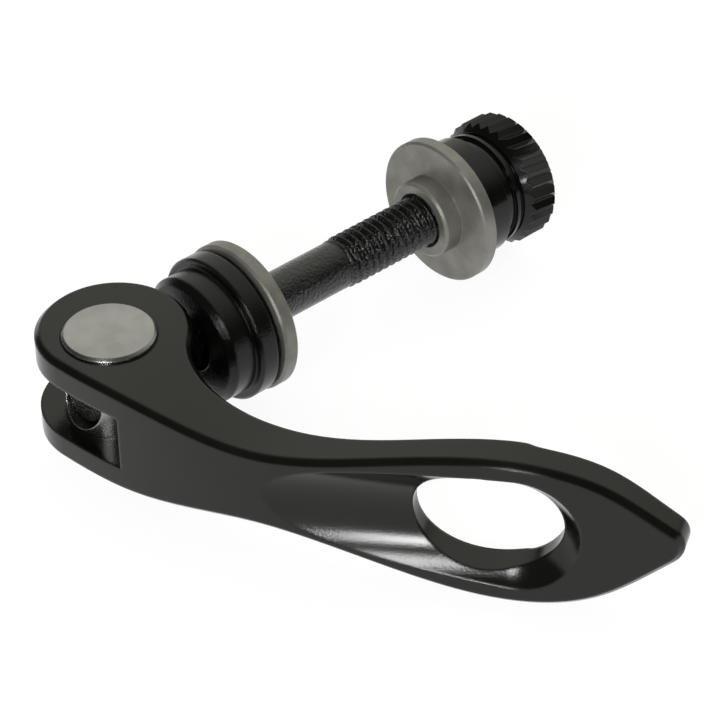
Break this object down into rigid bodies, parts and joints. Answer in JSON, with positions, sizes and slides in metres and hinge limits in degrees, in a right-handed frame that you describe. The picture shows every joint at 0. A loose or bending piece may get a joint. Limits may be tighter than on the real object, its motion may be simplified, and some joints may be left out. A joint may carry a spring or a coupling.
{
  "type": "quick release seatpost skewer",
  "caption": "Cam-lever skewer that clamps a seatpost collar: black lever on a steel pivot pin, threaded rod, cam cup, stepped washers and a ridged adjusting nut.",
  "frame": {"origin": "on the rod's axis at the clamping face of the lever-side washer, where its boss begins", "axes": "+X along the rod from the lever to the nut, +Z along the pivot pin, lever closed towards -Y"},
  "size_m": [0.0655, 0.0672, 0.018],
  "materials": {
    "lever_paint": "satin black paint",
    "pin_steel": "satin ground steel",
    "rod_paint": "grainy gloss black coating",
    "cup_black": "semi-gloss black",
    "washer_steel": "dull zinc grey",
    "nut_black": "gloss black"
  },
  "bodies": {
    "rod": {"skewer_rod": "rod_paint", "pivot_pin": "pin_steel"},
    "lever": {"lever": "lever_paint"},
    "cup": {"cam_cup": "cup_black"},
    "cup_washer": {"cup_washer": "washer_steel"},
    "nut_washer": {"nut_washer": "washer_steel"},
    "nut": {"adjusting_nut": "nut_black"}
  },
  "joints": [
    {"name": "lever_pivot", "type": "hinge", "parent": "rod", "child": "lever", "pos_m": [-0.01855, 0, 0], "axis": [0, 0, -1], "range_deg": [0, 180]},
    {"name": "cup_slide", "type": "slide", "parent": "rod", "child": "cup", "axis": [1, 0, 0], "range_m": [-0.0015, 0]},
    {"name": "cup_washer_slide", "type": "slide", "parent": "cup", "child": "cup_washer", "axis": [1, 0, 0], "range_m": [-0.0006, 0.008]},
    {"name": "nut_washer_slide", "type": "slide", "parent": "rod", "child": "nut_washer", "axis": [1, 0, 0], "range_m": [-0.01, 0.001]},
    {"name": "nut_turn", "type": "hinge", "parent": "nut_washer", "child": "nut", "pos_m": [0.034, 0, 0], "axis": [1, 0, 0], "range_deg": [-3600, 360]}
  ],
  "couplings": [
    {"joint": "cup_slide", "follows": "lever_pivot", "m_per_rad": -0.00047746},
    {"joint": "nut_washer_slide", "follows": "nut_turn", "m_per_rad": 0.00015915}
  ]
}
